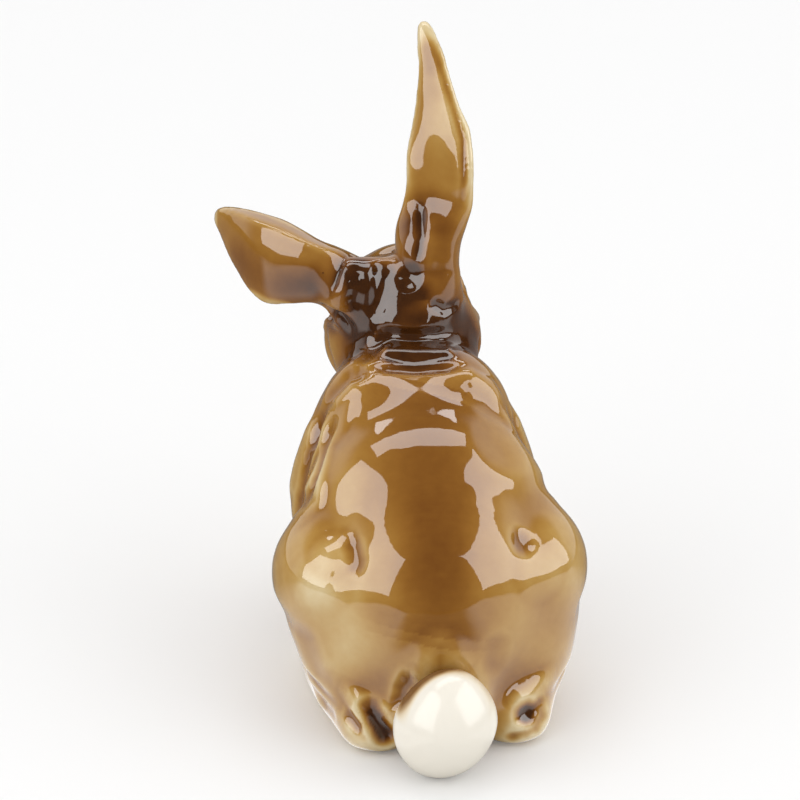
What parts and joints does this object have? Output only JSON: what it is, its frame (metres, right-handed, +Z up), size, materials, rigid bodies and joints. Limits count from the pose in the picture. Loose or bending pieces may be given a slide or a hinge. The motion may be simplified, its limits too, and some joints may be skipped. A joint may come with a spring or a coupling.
{
  "type": "hare figurine",
  "caption": "Seated glazed porcelain hare with a raised head, one upright ear, one ear swung out and forwards, a round white tail and a hollow cast body.",
  "frame": {"origin": "on the flat underside that the hare stands on, midway between its sides, where the plane of the table meets the middle of the trunk", "axes": "+Z up; the hare faces -Y; +X is the hare's own left"},
  "size_m": [0.0785, 0.1255, 0.1439],
  "materials": {
    "brown_glaze": "transparent brown gloss glaze over white porcelain",
    "dark_glaze": "deep brown gloss glaze, pooled dark on the head",
    "tan_glaze": "thin ochre gloss glaze with pale rims",
    "white_glaze": "clear gloss glaze over creamy white porcelain"
  },
  "bodies": {
    "root": {"trunk": "brown_glaze", "head": "dark_glaze", "ear_left": "tan_glaze", "ear_right": "tan_glaze", "tail": "white_glaze", "foreleg_left": "brown_glaze", "foreleg_right": "brown_glaze", "hind_foot_left": "brown_glaze", "hind_foot_right": "brown_glaze"}
  },
  "joints": []
}
